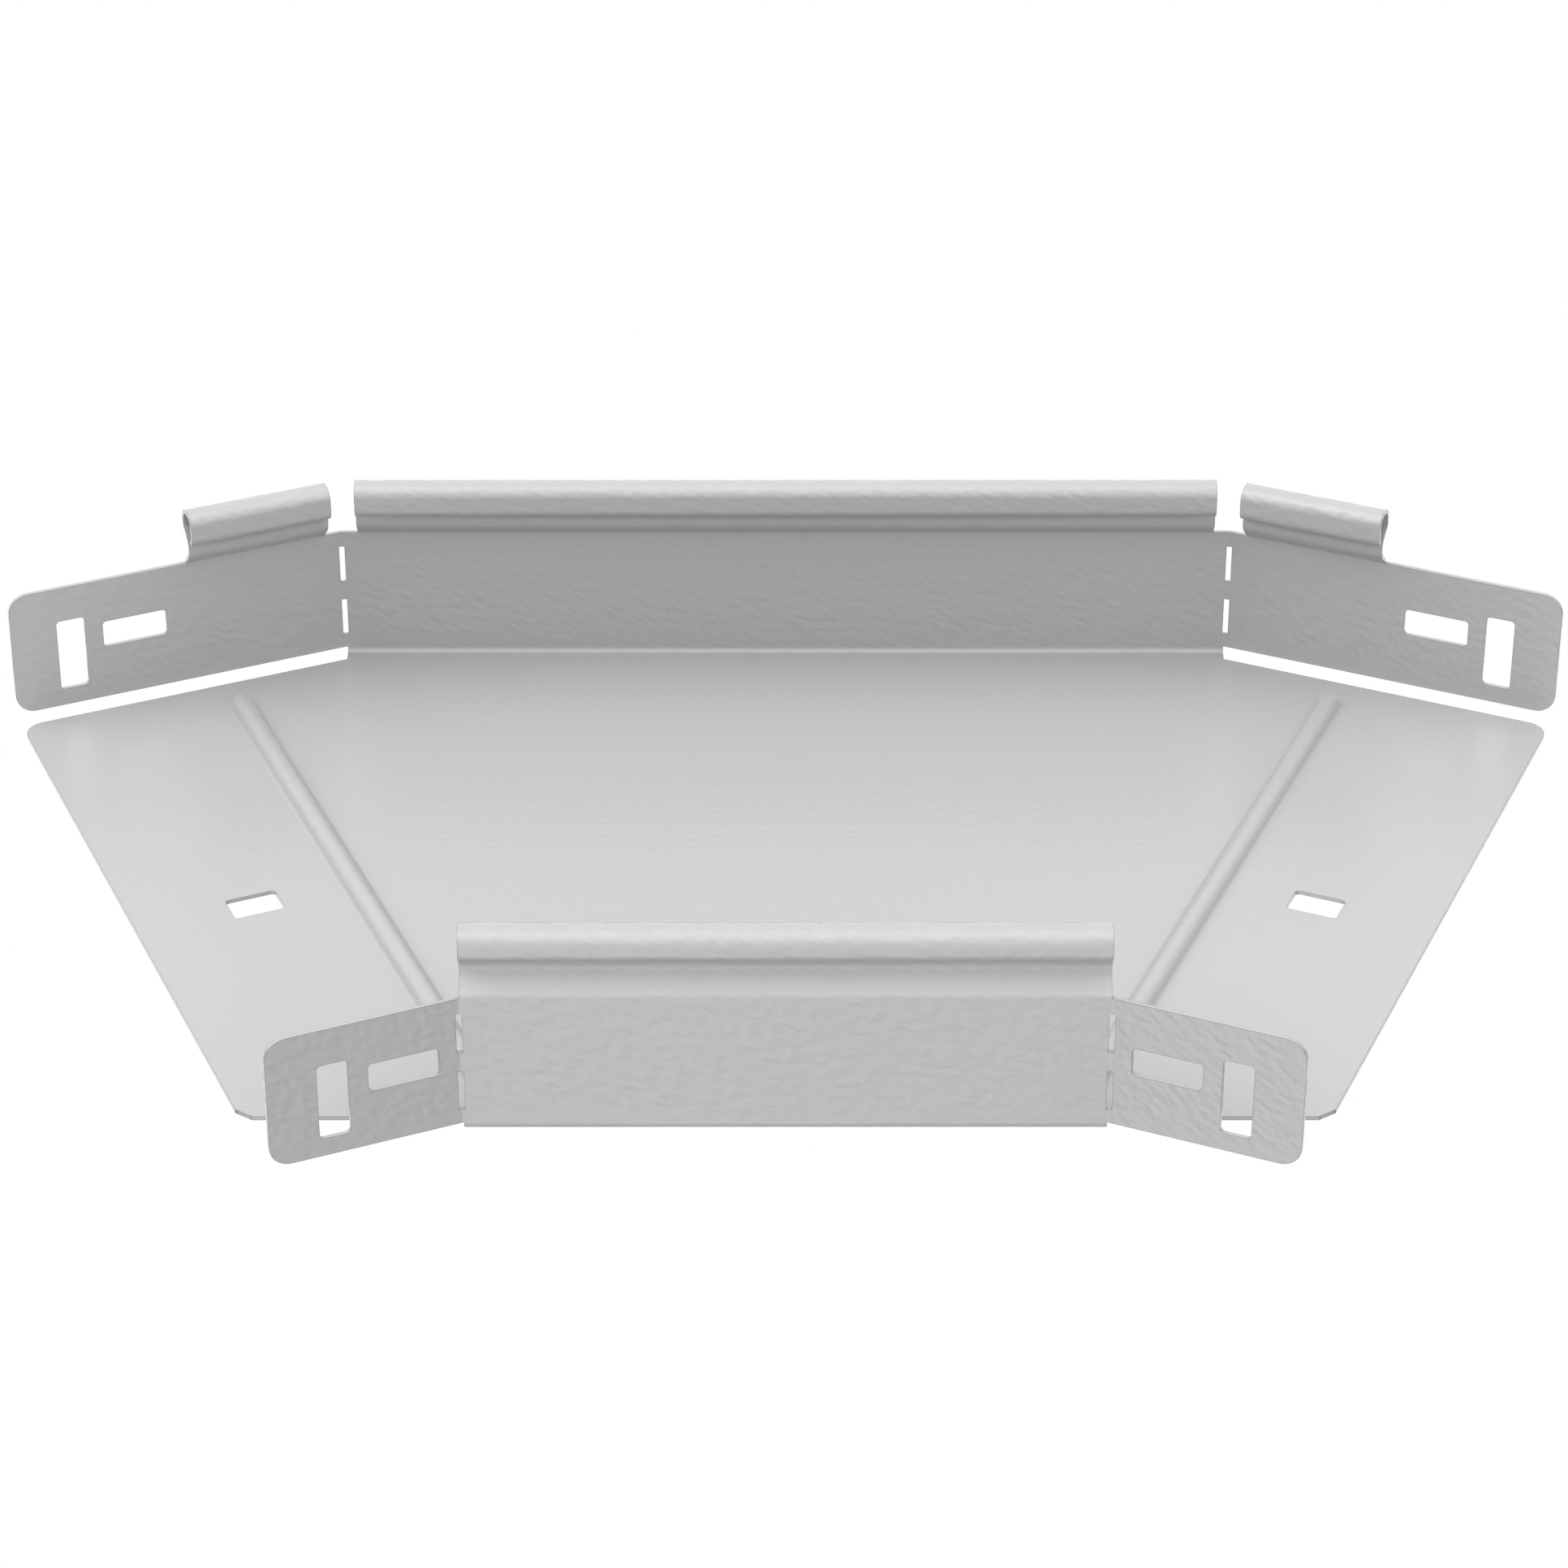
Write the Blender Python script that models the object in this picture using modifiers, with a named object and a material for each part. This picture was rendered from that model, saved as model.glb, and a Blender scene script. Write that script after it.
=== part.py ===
"""Cable tray bend: one flat blank of 1 mm steel sheet, slotted, beaded, folded and rolled.

The tray turns through 45 degrees in two kinks of 22.5 degrees. The blank's base carries the
outer (far) wall and the inner (near) wall on two straight folds. Past the kinks each wall
goes on as a free wing, with a slit between it and the base, and joins the next tray there.
The sheet is modelled as its middle surface, right half only, then mirrored and thickened.
All sizes are millimetres until the last step of build(). x runs along the straight folds,
y across the channel from the near wall's inner face, z up from the underside of the base.
"""
import math

import bmesh
import bpy
from mathutils import Vector

NAME = "tray_bend_sheet"

# Sheet and folds
SHEET = 1.0                 # thickness
FOLD_R = 1.4                # inside radius between base and wall
KINK_R = 1.6                # radius of the sheet's middle at the upright kinks
KINK = math.radians(22.5)   # turn at each kink, half of the whole bend
CHORD = 0.01                # how far a facet may leave its arc

# Channel in plan
WIDTH = 200.0               # inner face to inner face
NEAR_KINK = 70.15           # from the centre to the kink on the near wall's inner face
FAR_KINK = 109.15           # the same on the far wall
END_REACH = 108.6           # end plane, measured from the origin along the wing's direction
SLIT_CLEAR = 0.1            # slits end this far before the bend at the kink

# Walls, heights above the base's top face
WALL_TOP = 34.0
WING_CORNER_R = 5.0
RELIEF_W = 1.5              # narrow slots that weaken the wall along each kink
RELIEF_H = 10.0
RELIEF_Z = (10.0, 25.0)     # their centres
UPRIGHT_SLOT = (7.0, 19.0, 14.9, 15.35)    # width, height, centre from wing end, centre height
LEVEL_SLOT = (16.0, 7.0, 30.85, 18.85)
SLOT_R = 1.0

# Rolled rim: straight run, turn in degrees (+ leans over the channel), radius of the middle
RIM_FORM = (
    (0.0, 45, 0.7),         # leaves the wall and leans in
    (3.4, -101, 3.8),       # neck, then out again
    (1.35, 56, 1.9),        # back to upright, flush with the wall's outer face
    (1.35, 90, 2.9),        # over the crown
    (1.4, 90, 2.3),         # and down the inner side
    (3.1, 45, 1.9),         # lip turned back towards the neck
    (0.8, 0, 0.0),
)
RIM_GAP = 4.3               # rim ends this far from a kink where it is interrupted
WING_RIM = 35.3             # length of the short rim on each far wing

# Base
NEAR_EDGE = 3.2             # base edge beside a near wing, from the near wall's inner face
FAR_EDGE = 3.5              # base edge beside a far wing, from that wing's inner face
CHAMFER = 2.87
BASE_CORNER_R = 5.0
BASE_SLOT = (12.0, 8.0, 28.55)              # along the wing, across it, centre from the end
BEAD_FROM_END = 52.45
BEAD_END = 14.7             # centre of the bead's round end, from either wall
BEAD_H = 2.6
BEAD_CREST_R = 2.35         # radii of the sheet's middle
BEAD_FOOT_R = 1.65
BEAD_CHORD = 0.02
BEAD_TURN_STEPS = 16

MID = SHEET / 2
BASE_Z = MID                # middle of the base
TOP_FACE = SHEET            # top face of the base
ALONG = Vector((math.cos(KINK), -math.sin(KINK)))    # direction of the right-hand wings
ACROSS = Vector((math.sin(KINK), math.cos(KINK)))    # from the near wing to the far wing
NEAR_FACE = NEAR_KINK * ACROSS.x                     # inner faces of the wings along ACROSS
FAR_FACE = FAR_KINK * ACROSS.x + WIDTH * ACROSS.y


def steps_for(radius, angle, chord=CHORD):
    """Number of facets that keeps an arc within the chord error."""
    return max(1, math.ceil(abs(angle) / (2 * math.acos(1 - chord / radius))))


def wing_point(along, across):
    return ALONG * along + ACROSS * across


def rounded(corners):
    """Closed outline through (point, radius) corners, each with its radius rolled in."""
    points = []
    for i, (corner, radius) in enumerate(corners):
        if radius == 0:
            points.append(corner)
            continue
        back = (corners[i - 1][0] - corner).normalized()
        ahead = (corners[(i + 1) % len(corners)][0] - corner).normalized()
        half = back.angle(ahead) / 2
        centre = corner + (back + ahead).normalized() * radius / math.sin(half)
        start = corner + back * radius / math.tan(half) - centre
        turn = math.copysign(math.pi - 2 * half, back.y * ahead.x - back.x * ahead.y)
        count = steps_for(radius, turn)
        for k in range(count + 1):
            a = turn * k / count
            spoke = Vector((start.x * math.cos(a) - start.y * math.sin(a),
                            start.x * math.sin(a) + start.y * math.cos(a)))
            points.append(centre + spoke)
    return points


def slot(centre, width, height, radius, along=Vector((1, 0))):
    """Rectangular hole with rounded corners, its width lying along the given direction."""
    up = Vector((-along.y, along.x))
    signs = ((-1, -1), (1, -1), (1, 1), (-1, 1))
    return rounded([(centre + along * (i * width / 2) + up * (j * height / 2), radius)
                    for i, j in signs])


def formed_path(form, heading):
    """Points of a bent section from (0, 0), as (towards the channel, up)."""
    at = Vector((0.0, 0.0))
    heading = math.radians(heading)
    path = []
    for run, degrees, radius in form:
        if run:
            at = at + run * Vector((math.sin(heading), math.cos(heading)))
            path.append(at)
        turn = math.radians(degrees)
        count = steps_for(radius, turn) if turn else 0
        for _ in range(count):
            middle = heading + turn / count / 2
            chord = 2 * radius * math.sin(abs(turn) / count / 2)
            at = at + chord * Vector((math.sin(middle), math.cos(middle)))
            heading += turn / count
            path.append(at)
    return path


def punch(bm, outline, holes, place):
    """Fill an outline with its holes left open; place() sets a flat point in space."""
    edges = []
    for loop in [outline] + holes:
        verts = [bm.verts.new(place(p)) for p in loop]
        edges += [bm.edges.new(pair) for pair in zip(verts, verts[1:] + verts[:1])]
    bmesh.ops.triangle_fill(bm, use_beauty=True, edges=edges)


def sweep(bm, edges, path):
    """Extrude edges along a section path of (towards the channel, up) points."""
    last = Vector((0.0, 0.0))
    for point in path:
        grown = bmesh.ops.extrude_edge_only(bm, edges=edges)["geom"]
        verts = [g for g in grown if isinstance(g, bmesh.types.BMVert)]
        edges = [g for g in grown if isinstance(g, bmesh.types.BMEdge)]
        step = point - last
        bmesh.ops.translate(bm, verts=verts, vec=(0.0, step.x, step.y))
        last = point


def level_edges(bm, z, start, end):
    """Open edges at height z that lie between two places along the wall."""
    def inside(v):
        return abs(v.co.z - z) < CHORD and start - CHORD < v.co.x < end + CHORD
    return [e for e in bm.edges if e.is_boundary and all(inside(v) for v in e.verts)]


class Wall:
    """One wall with its wing, first straight along x, then bent at the kink.

    side is 1 for the far wall, whose channel lies towards -y, and -1 for the near wall.
    """

    def __init__(self, kink, face_y, side):
        self.side = side
        self.middle_y = face_y + side * MID
        self.kink = kink + side * MID * math.tan(KINK / 2)
        tangent = KINK_R * math.tan(KINK / 2)
        self.bend_start = self.kink - tangent
        self.bend_end = self.bend_start + KINK_R * KINK
        reach = Vector((self.kink, self.middle_y)).dot(ALONG)
        self.end = self.bend_end + END_REACH - reach - tangent
        self.fold_end = self.bend_start - SLIT_CLEAR

    def outline(self):
        """Flat wall above the fold, with a corner wherever a rim, fold or wing starts."""
        low = TOP_FACE + FOLD_R
        high = TOP_FACE + WALL_TOP
        ends = sorted({x for span in self.rims() for x in span} - {0.0}, reverse=True)
        top = [(Vector((x, high)), 0) for x in ends]
        return rounded([(Vector((0, low)), 0), (Vector((self.fold_end, low)), 0),
                        (Vector((self.end, low)), WING_CORNER_R),
                        (Vector((self.end, high)), WING_CORNER_R)]
                       + top + [(Vector((0, high)), 0)])

    def rims(self):
        """Spans of the wall that carry the rolled rim."""
        if self.side < 0:
            return [(0.0, self.bend_start)]
        start = self.kink + RIM_GAP
        return [(0.0, self.kink - RIM_GAP), (start, start + WING_RIM)]

    def holes(self):
        found = [slot(Vector((self.bend_start + KINK_R * KINK / 2, TOP_FACE + z)),
                      RELIEF_W, RELIEF_H, 0) for z in RELIEF_Z]
        for width, height, from_end, z in (UPRIGHT_SLOT, LEVEL_SLOT):
            found.append(slot(Vector((self.end - from_end, TOP_FACE + z)),
                              width, height, SLOT_R))
        return found

    def bend(self, co):
        """Place a point of the straight wall on the kinked one."""
        offset = -self.side * co.y
        turn = min(max(co.x - self.bend_start, 0.0) / KINK_R, KINK)
        centre = Vector((min(co.x, self.bend_start), self.middle_y - KINK_R))
        out = Vector((math.sin(turn), math.cos(turn)))
        ahead = Vector((math.cos(turn), -math.sin(turn)))
        past = max(co.x - self.bend_end, 0.0)
        flat = centre + out * (KINK_R + offset) + ahead * past
        return Vector((flat.x, flat.y, co.z))

    def build(self):
        bm = bmesh.new()
        punch(bm, self.outline(), self.holes(), lambda p: (p.x, 0.0, p.y))
        count = steps_for(KINK_R, KINK)
        for k in range(count + 1):
            place = (self.bend_start + (self.bend_end - self.bend_start) * k / count, 0, 0)
            bmesh.ops.bisect_plane(bm, geom=bm.verts[:] + bm.edges[:] + bm.faces[:],
                                   dist=CHORD / 10, plane_co=place, plane_no=(1, 0, 0))
        for start, end in self.rims():
            sweep(bm, level_edges(bm, TOP_FACE + WALL_TOP, start, end),
                  formed_path(RIM_FORM, 0))
        sweep(bm, level_edges(bm, TOP_FACE + FOLD_R, 0, self.fold_end),
              formed_path(((0, -90, FOLD_R + MID),), 180))
        for v in bm.verts:
            v.co = self.bend(v.co)
        return bm


def base_outline(near, far):
    """Base between the folds, with its free edges beside the wings and across the ends."""
    near_corner = Vector(((END_REACH - NEAR_EDGE * ALONG.y) / ALONG.x, NEAR_EDGE))
    far_corner = wing_point(END_REACH, FAR_FACE - FAR_EDGE)
    slit_y = (FAR_FACE - FAR_EDGE - far.fold_end * ACROSS.x) / ACROSS.y
    plain = (Vector((0, FOLD_R)), Vector((near.fold_end, FOLD_R)),
             Vector((near.fold_end, NEAR_EDGE)), near_corner - Vector((CHAMFER, 0)),
             near_corner + ACROSS * CHAMFER)
    rest = (Vector((far.fold_end, slit_y)), Vector((far.fold_end, WIDTH - FOLD_R)),
            Vector((0, WIDTH - FOLD_R)))
    return rounded([(p, 0) for p in plain] + [(far_corner, BASE_CORNER_R)]
                   + [(p, 0) for p in rest])


def bead_profile():
    """Half section of the bead from crest to foot, as (distance from its axis, height)."""
    turn = math.acos(1 - BEAD_H / (BEAD_CREST_R + BEAD_FOOT_R))
    crest = steps_for(BEAD_CREST_R, turn, BEAD_CHORD)
    foot = steps_for(BEAD_FOOT_R, turn, BEAD_CHORD)
    points = []
    for k in range(crest + 1):
        a = turn * k / crest
        points.append((BEAD_CREST_R * math.sin(a), BEAD_H - BEAD_CREST_R * (1 - math.cos(a))))
    reach = (BEAD_CREST_R + BEAD_FOOT_R) * math.sin(turn)
    for k in range(foot - 1, -1, -1):
        a = turn * k / foot
        points.append((reach - BEAD_FOOT_R * math.sin(a), BEAD_FOOT_R * (1 - math.cos(a))))
    return points


def bead_ends():
    at = END_REACH - BEAD_FROM_END
    return wing_point(at, NEAR_FACE + BEAD_END), wing_point(at, FAR_FACE - BEAD_END)


def bead_foot():
    """Outline of the bead where it leaves the base: two half turns and two straights."""
    reach = bead_profile()[-1][0]
    near_end, far_end = bead_ends()
    points = []
    for centre, first in ((near_end, -math.pi), (far_end, 0.0)):
        for k in range(BEAD_TURN_STEPS + 1):
            a = first + math.pi * k / BEAD_TURN_STEPS
            points.append(centre + (ALONG * math.cos(a) + ACROSS * math.sin(a)) * reach)
    return points


def press_bead(bm):
    """Raise the bead: its half section spun round each end and drawn along both sides."""
    near_end, far_end = bead_ends()
    side = Vector((ALONG.x, ALONG.y, 0))
    for centre, other, out in ((near_end, far_end, -side), (far_end, near_end, side)):
        origin = Vector((centre.x, centre.y, BASE_Z))
        verts = [bm.verts.new(origin + out * d + Vector((0, 0, h))) for d, h in bead_profile()]
        edges = [bm.edges.new(pair) for pair in zip(verts, verts[1:])]
        spun = bmesh.ops.spin(bm, geom=verts + edges, cent=origin, axis=(0, 0, 1),
                              angle=math.pi, steps=BEAD_TURN_STEPS, use_merge=False)
        last = [g for g in spun["geom_last"] if isinstance(g, bmesh.types.BMEdge)]
        drawn = bmesh.ops.extrude_edge_only(bm, edges=last)["geom"]
        along = other - centre
        bmesh.ops.translate(bm, vec=(along.x, along.y, 0),
                            verts=[g for g in drawn if isinstance(g, bmesh.types.BMVert)])


def build_base(near, far):
    bm = bmesh.new()
    width, across, from_end = BASE_SLOT
    centre = wing_point(END_REACH - from_end, (NEAR_FACE + FAR_FACE) / 2)
    holes = [slot(centre, width, across, SLOT_R, ALONG), bead_foot()]
    punch(bm, base_outline(near, far), holes, lambda p: (p.x, p.y, BASE_Z))
    press_bead(bm)
    return bm


def join(parts):
    """Weld the sheet's regions into one surface with its faces turned one way."""
    whole = bmesh.new()
    for bm in parts:
        mesh = bpy.data.meshes.new("region")
        bm.to_mesh(mesh)
        whole.from_mesh(mesh)
        bpy.data.meshes.remove(mesh)
        bm.free()
    bmesh.ops.remove_doubles(whole, verts=whole.verts, dist=CHORD)
    bmesh.ops.dissolve_degenerate(whole, dist=CHORD / 10, edges=whole.edges)
    bmesh.ops.recalc_face_normals(whole, faces=whole.faces)
    return whole


def steel():
    material = bpy.data.materials.new("galvanised sheet steel")
    material.use_nodes = True
    shader = material.node_tree.nodes["Principled BSDF"]
    shader.inputs["Base Color"].default_value = (0.62, 0.63, 0.64, 1)
    shader.inputs["Metallic"].default_value = 0.6
    shader.inputs["Roughness"].default_value = 0.45
    return material


def build():
    for item in list(bpy.data.objects):
        bpy.data.objects.remove(item)
    far = Wall(FAR_KINK, WIDTH, 1)
    near = Wall(NEAR_KINK, 0.0, -1)
    sheet = join([far.build(), near.build(), build_base(near, far)])

    wing_tip = wing_point(END_REACH, NEAR_FACE - SHEET).y
    centre_y = (wing_tip + WIDTH + SHEET) / 2
    bmesh.ops.translate(sheet, verts=sheet.verts, vec=(0, -centre_y, 0))
    bmesh.ops.scale(sheet, verts=sheet.verts, vec=(0.001, 0.001, 0.001))
    mesh = bpy.data.meshes.new(NAME)
    sheet.to_mesh(mesh)
    sheet.free()
    mesh.materials.append(steel())

    collection = bpy.data.collections.new("cable tray bend")
    bpy.context.scene.collection.children.link(collection)
    tray = bpy.data.objects.new(NAME, mesh)
    collection.objects.link(tray)

    halves = tray.modifiers.new("both halves", "MIRROR")
    halves.use_axis = (True, False, False)
    halves.merge_threshold = 0.00001
    thick = tray.modifiers.new("sheet thickness", "SOLIDIFY")
    thick.thickness = SHEET * 0.001
    thick.offset = 0
    thick.use_even_offset = True
    thick.use_quality_normals = True


build()
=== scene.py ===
"""Cable tray bend in galvanised sheet steel, on a white table in soft studio light.

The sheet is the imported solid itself. Its facets are welded and smoothed, its cut edges get
the small rounding that punching and zinc leave on them, and one material gives the finish.
Sizes are metres, x along the straight walls, y towards the outer wall, z up.
"""
import math

import bmesh
import bpy
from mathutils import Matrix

WELD = 0.000002             # joins the corners that neighbouring facets share
EDGE_ROUND = 0.00012        # rounding of the cut edges
EDGE_SEGMENTS = 2
EDGE_ANGLE = 40             # degrees; the bends' facets turn less than this, cut edges more

ZINC = "#a6a6a6"
ZINC_METALLIC = 0.1         # matched to the dull skin, which mirrors far less than bare metal
ZINC_ROUGHNESS = 0.3
MOTTLE = 0.0017             # spacing of the dimples, as wide as the mottle seen on the walls
MOTTLE_DEPTH = 0.00029      # deeper than real dimples, so that they show
MOTTLE_STRETCH = 1.7        # the dimples are longer than they are wide
MOTTLE_SLANT = 30           # degrees that their length is turned from level
MOTTLE_DETAIL = 0.8
MOTTLE_ROUGHNESS = 0.4
BASE_MOTTLE = 0.3           # share of the depth on the base, which is smoother than the walls
BASE_HEIGHT = 0.001         # the mottle grows from here, the base's upper face,
WALL_HEIGHT = 0.008         # to its full depth here

ARRIS_PAINTED_SHADE = "#5c5c5c"           # painted shade: a darker grey along the arrises of the cut edges, standing in for their shading
ARRIS_SHADE_WIDTH = 0.0004
ARRIS_SHADE_SAMPLES = 4
ARRIS_SHADE_FULL = 0.8            # cosine of the turn of the surface where the painted shade on the arris is darkest
ARRIS_SHADE_NONE = 0.97           # and where the plain zinc starts

WHITE = "#ffffff"
TABLE_HALF = 6.0
TABLE_DROP = 0.0002         # keeps the table clear of the base's underside

CAMERA_AT = (0.0, -1.02085, 0.67738)
CAMERA_DOWN = 32.3585       # degrees below level
SENSOR = 36.0               # mm wide
FOCAL = 121.37              # mm
SHIFT = -1.9 / 1932         # the tray sits a little right of the picture's middle
NEAREST = 0.01
FARTHEST = 50.0

# Broad soft lights of the white room: azimuth (0 on the camera's side, 90 on the right),
# elevation, brightness, and the power that narrows the light's spread
SOFT_LIGHTS = (
    (30, 75, 1.51, 1),      # ceiling
    (60, 60, 0.68, 2),      # ceiling, towards the front right
    (270, 45, 3.25, 8),     # high on the left
    (180, -30, 2.5, 2),     # wall and floor behind
    (0, -30, 1.26, 4),      # floor in front
    (330, -30, 1.06, 8),    # floor in front, a little to the left
)

# Sockets of a Mix node that mixes colours, which share their names with its other sockets
MIX_A = 6
MIX_B = 7
MIX_RESULT = 2


def colour(code):
    """Linear colour of an sRGB hex code."""
    parts = [int(code[i:i + 2], 16) / 255 for i in (1, 3, 5)]
    return [p / 12.92 if p <= 0.04045 else ((p + 0.055) / 1.055) ** 2.4 for p in parts] + [1.0]


def add(tree, kind, inputs=(), **settings):
    """Add a node; inputs pairs a socket's name or number with a value or another's output."""
    node = tree.nodes.new(kind)
    for name, value in settings.items():
        setattr(node, name, value)
    for name, value in inputs:
        if isinstance(value, bpy.types.NodeSocket):
            tree.links.new(value, node.inputs[name])
        else:
            node.inputs[name].default_value = value
    return node


def zinc_sheet():
    """Hot-dip galvanised sheet: a matt, neutral light grey zinc skin with a faint wet sheen.

    The soft dimples of the dip break up the sheen, most where a bright edge is mirrored; painted shade
    darkens the colour along the arrises of the cut edges.
    """
    material = bpy.data.materials.new("galvanised sheet steel")
    material.use_nodes = True
    tree = material.node_tree
    tree.nodes.clear()

    # Long, slanting dimples, fainter on the base than on the walls
    place = add(tree, "ShaderNodeTexCoord")
    run = add(tree, "ShaderNodeMapping", [
        ("Vector", place.outputs["Object"]), ("Rotation", (0, math.radians(MOTTLE_SLANT), 0)),
        ("Scale", (MOTTLE_STRETCH, 1, 1))], vector_type="TEXTURE")
    dimples = add(tree, "ShaderNodeTexNoise", [
        ("Vector", run.outputs["Vector"]), ("Scale", 1 / MOTTLE), ("Detail", MOTTLE_DETAIL),
        ("Roughness", MOTTLE_ROUGHNESS)])
    height = add(tree, "ShaderNodeSeparateXYZ", [("Vector", place.outputs["Object"])])
    share = add(tree, "ShaderNodeMapRange", [
        ("Value", height.outputs["Z"]), ("From Min", BASE_HEIGHT), ("From Max", WALL_HEIGHT),
        ("To Min", BASE_MOTTLE)])
    skin = add(tree, "ShaderNodeBump", [
        ("Height", dimples.outputs["Fac"]), ("Strength", share.outputs["Result"]),
        ("Distance", MOTTLE_DEPTH)])

    # Painted shade: darker colour where a rounded normal leaves the flat face, which is at the arrises
    rounded = add(tree, "ShaderNodeBevel", [("Radius", ARRIS_SHADE_WIDTH)], samples=ARRIS_SHADE_SAMPLES)
    surface = add(tree, "ShaderNodeNewGeometry")
    level = add(tree, "ShaderNodeVectorMath", [
        (0, rounded.outputs["Normal"]), (1, surface.outputs["True Normal"])], operation="DOT_PRODUCT")
    flat = add(tree, "ShaderNodeMapRange", [
        ("Value", level.outputs["Value"]), ("From Min", ARRIS_SHADE_FULL), ("From Max", ARRIS_SHADE_NONE)])
    zinc_with_arris_shade = add(tree, "ShaderNodeMix", [
        ("Factor", flat.outputs["Result"]), (MIX_A, colour(ARRIS_PAINTED_SHADE)), (MIX_B, colour(ZINC))],
        data_type="RGBA")

    shader = add(tree, "ShaderNodeBsdfPrincipled", [
        ("Normal", skin.outputs["Normal"]), ("Base Color", zinc_with_arris_shade.outputs[MIX_RESULT]),
        ("Metallic", ZINC_METALLIC), ("Roughness", ZINC_ROUGHNESS)])
    add(tree, "ShaderNodeOutputMaterial", [("Surface", shader.outputs["BSDF"])])
    return material


def dress(sheet):
    """Weld the solid's facets, round its cut edges and shade its bends smoothly."""
    weld = sheet.modifiers.new("weld", "WELD")
    weld.merge_threshold = WELD
    edges = sheet.modifiers.new("rounded cut edges", "BEVEL")
    edges.width = EDGE_ROUND
    edges.segments = EDGE_SEGMENTS
    edges.limit_method = "ANGLE"
    edges.angle_limit = math.radians(EDGE_ANGLE)
    for face in sheet.data.polygons:
        face.use_smooth = True
    flats = sheet.modifiers.new("flat faces stay flat", "WEIGHTED_NORMAL")
    flats.keep_sharp = True
    sheet.data.materials.clear()
    sheet.data.materials.append(zinc_sheet())


def white_table():
    """Table that glows as white as the room, and is clear when seen from below."""
    bm = bmesh.new()
    bmesh.ops.create_grid(bm, x_segments=1, y_segments=1, size=TABLE_HALF)
    bmesh.ops.translate(bm, verts=bm.verts, vec=(0, 0, -TABLE_DROP))
    mesh = bpy.data.meshes.new("white table")
    bm.to_mesh(mesh)
    bm.free()
    table = bpy.data.objects.new("white table", mesh)
    bpy.context.scene.collection.objects.link(table)
    table.visible_diffuse = False
    table.visible_glossy = False
    table.visible_shadow = False
    material = bpy.data.materials.new("white table")
    material.use_nodes = True
    tree = material.node_tree
    tree.nodes.clear()
    top = add(tree, "ShaderNodeEmission", [("Color", colour(WHITE))])
    below = add(tree, "ShaderNodeBsdfTransparent")
    side = add(tree, "ShaderNodeNewGeometry")
    both = add(tree, "ShaderNodeMixShader", [
        ("Fac", side.outputs["Backfacing"]), (1, top.outputs[0]), (2, below.outputs[0])])
    add(tree, "ShaderNodeOutputMaterial", [("Surface", both.outputs[0])])
    mesh.materials.append(material)


def white_room():
    """Soft light from all round; the camera itself sees plain white behind the table."""
    world = bpy.data.worlds.new("white room")
    world.use_nodes = True
    tree = world.node_tree
    tree.nodes.clear()
    look = add(tree, "ShaderNodeTexCoord").outputs["Generated"]
    total = 0.0
    for azimuth, elevation, brightness, power in SOFT_LIGHTS:
        a = math.radians(azimuth)
        e = math.radians(elevation)
        towards = (math.sin(a) * math.cos(e), -math.cos(a) * math.cos(e), math.sin(e))
        facing = add(tree, "ShaderNodeVectorMath", [(0, look), (1, towards)], operation="DOT_PRODUCT")
        near = add(tree, "ShaderNodeMath", [(0, facing.outputs["Value"]), (1, 0.0)], operation="MAXIMUM")
        soft = add(tree, "ShaderNodeMath", [(0, near.outputs[0]), (1, power)], operation="POWER")
        total = add(tree, "ShaderNodeMath", [(0, soft.outputs[0]), (1, brightness), (2, total)],
                    operation="MULTIPLY_ADD").outputs[0]
    lights = add(tree, "ShaderNodeBackground", [("Color", colour(WHITE)), ("Strength", total)])
    plain = add(tree, "ShaderNodeBackground", [("Color", colour(WHITE)), ("Strength", 1.0)])
    ray = add(tree, "ShaderNodeLightPath")
    seen = add(tree, "ShaderNodeMixShader", [
        ("Fac", ray.outputs["Is Camera Ray"]), (1, lights.outputs[0]), (2, plain.outputs[0])])
    add(tree, "ShaderNodeOutputWorld", [("Surface", seen.outputs[0])])
    bpy.context.scene.world = world
    bpy.context.scene.view_settings.view_transform = "Standard"


def camera():
    """Long lens in front of the near wall, looking down into the channel."""
    lens = bpy.data.cameras.new("camera")
    lens.sensor_width = SENSOR
    lens.lens = FOCAL
    lens.shift_x = SHIFT
    lens.clip_start = NEAREST
    lens.clip_end = FARTHEST
    eye = bpy.data.objects.new("camera", lens)
    eye.location = CAMERA_AT
    eye.rotation_euler = (math.radians(90 - CAMERA_DOWN), 0, 0)
    bpy.context.scene.collection.objects.link(eye)
    bpy.context.scene.camera = eye


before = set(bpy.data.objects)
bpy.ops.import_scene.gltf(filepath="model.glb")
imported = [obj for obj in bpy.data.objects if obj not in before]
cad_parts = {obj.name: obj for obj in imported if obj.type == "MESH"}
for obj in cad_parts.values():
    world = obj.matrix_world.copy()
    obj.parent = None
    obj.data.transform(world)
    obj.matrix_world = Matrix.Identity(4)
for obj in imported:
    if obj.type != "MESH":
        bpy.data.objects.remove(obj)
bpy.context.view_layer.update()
dress(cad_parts["tray_bend_sheet"])
white_table()
white_room()
camera()
